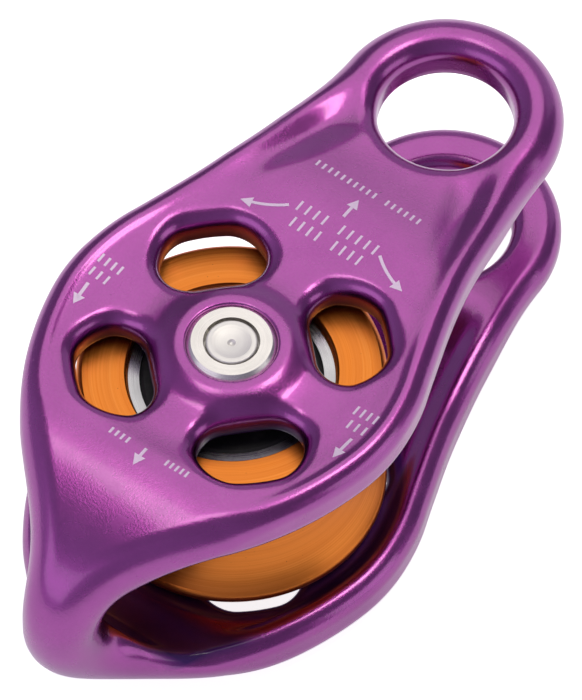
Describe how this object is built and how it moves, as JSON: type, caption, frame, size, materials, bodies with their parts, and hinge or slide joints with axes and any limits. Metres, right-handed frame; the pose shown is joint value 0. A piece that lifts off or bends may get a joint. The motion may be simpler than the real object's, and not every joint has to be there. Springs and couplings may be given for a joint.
{
  "type": "rope pulley",
  "caption": "Rigging pulley: a forged wrap-round frame with attachment eyes and a becket bar, holding a wide grooved sheave on sealed ball bearings.",
  "frame": {"origin": "centre of the sheave, on the axle and on the mid-plane between the cheeks", "axes": "+Z along the axle and out of the front cheek, +Y from the axle to the attachment eyes, +X across the cheeks"},
  "size_m": [0.065, 0.135, 0.0492],
  "materials": {
    "anodised_purple": "purple anodised forging, satin",
    "anodised_orange": "orange anodised, turned",
    "axle_steel": "stainless, turned ends",
    "spacer_steel": "stainless, turned",
    "bearing_steel": "ground bearing steel",
    "ball_steel": "polished",
    "cage_steel": "pressed sheet steel",
    "seal_rubber": "moulded, matt black"
  },
  "bodies": {
    "frame": {"body": "anodised_purple", "axle_sleeve": "axle_steel", "axle_core_pin": "axle_steel", "bearing_spacer": "spacer_steel", "front_spacer_washer": "spacer_steel", "rear_spacer_washer": "spacer_steel", "front_inner_race": "bearing_steel", "rear_inner_race": "bearing_steel"},
    "sheave": {"sheave": "anodised_orange", "front_outer_race": "bearing_steel", "rear_outer_race": "bearing_steel", "front_outer_seal": "seal_rubber", "front_inner_seal": "seal_rubber", "rear_outer_seal": "seal_rubber", "rear_inner_seal": "seal_rubber"},
    "front_ball_set": {"front_balls": "ball_steel", "front_cage_outer_half": "cage_steel", "front_cage_inner_half": "cage_steel", "front_cage_rivets": "cage_steel"},
    "rear_ball_set": {"rear_balls": "ball_steel", "rear_cage_outer_half": "cage_steel", "rear_cage_inner_half": "cage_steel", "rear_cage_rivets": "cage_steel"}
  },
  "joints": [
    {"name": "sheave_spin", "type": "hinge", "parent": "frame", "child": "sheave", "pos_m": [0, 0, 0], "axis": [0, 0, 1], "continuous": true},
    {"name": "front_cage_spin", "type": "hinge", "parent": "frame", "child": "front_ball_set", "pos_m": [0, 0, 0.0085], "axis": [0, 0, 1], "continuous": true},
    {"name": "rear_cage_spin", "type": "hinge", "parent": "frame", "child": "rear_ball_set", "pos_m": [0, 0, -0.0085], "axis": [0, 0, 1], "continuous": true}
  ],
  "couplings": [
    {"joint": "front_cage_spin", "follows": "sheave_spin", "ratio": 0.6185},
    {"joint": "rear_cage_spin", "follows": "sheave_spin", "ratio": 0.6185}
  ]
}
